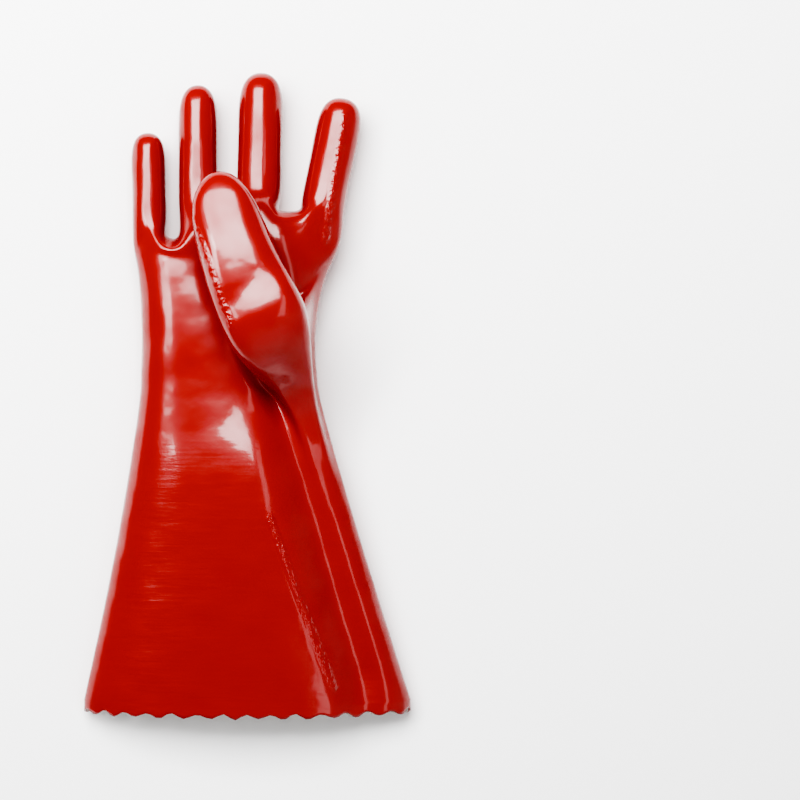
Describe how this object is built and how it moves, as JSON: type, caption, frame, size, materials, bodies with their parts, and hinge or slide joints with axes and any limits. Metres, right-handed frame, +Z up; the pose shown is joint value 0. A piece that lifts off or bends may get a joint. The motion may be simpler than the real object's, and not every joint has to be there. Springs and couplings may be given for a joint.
{
  "type": "pvc coated work glove",
  "caption": "Long-cuffed work glove, a glossy dipped shell over a knitted lining, with a flared scalloped cuff, lying palm up with its thumb folded over the palm.",
  "frame": {"origin": "middle of the glove's outline, on the surface that it lies on", "axes": "+Y from the hem to the fingertips, +X towards the thumb's side, +Z up from the surface, out of the palm"},
  "size_m": [0.1778, 0.349, 0.0744],
  "materials": {
    "pvc_coating": "smooth wet-looking dipped PVC",
    "cotton_lining": "knitted cotton jersey"
  },
  "bodies": {
    "root": {"pvc_coating": "pvc_coating", "cotton_lining": "cotton_lining"}
  },
  "joints": []
}
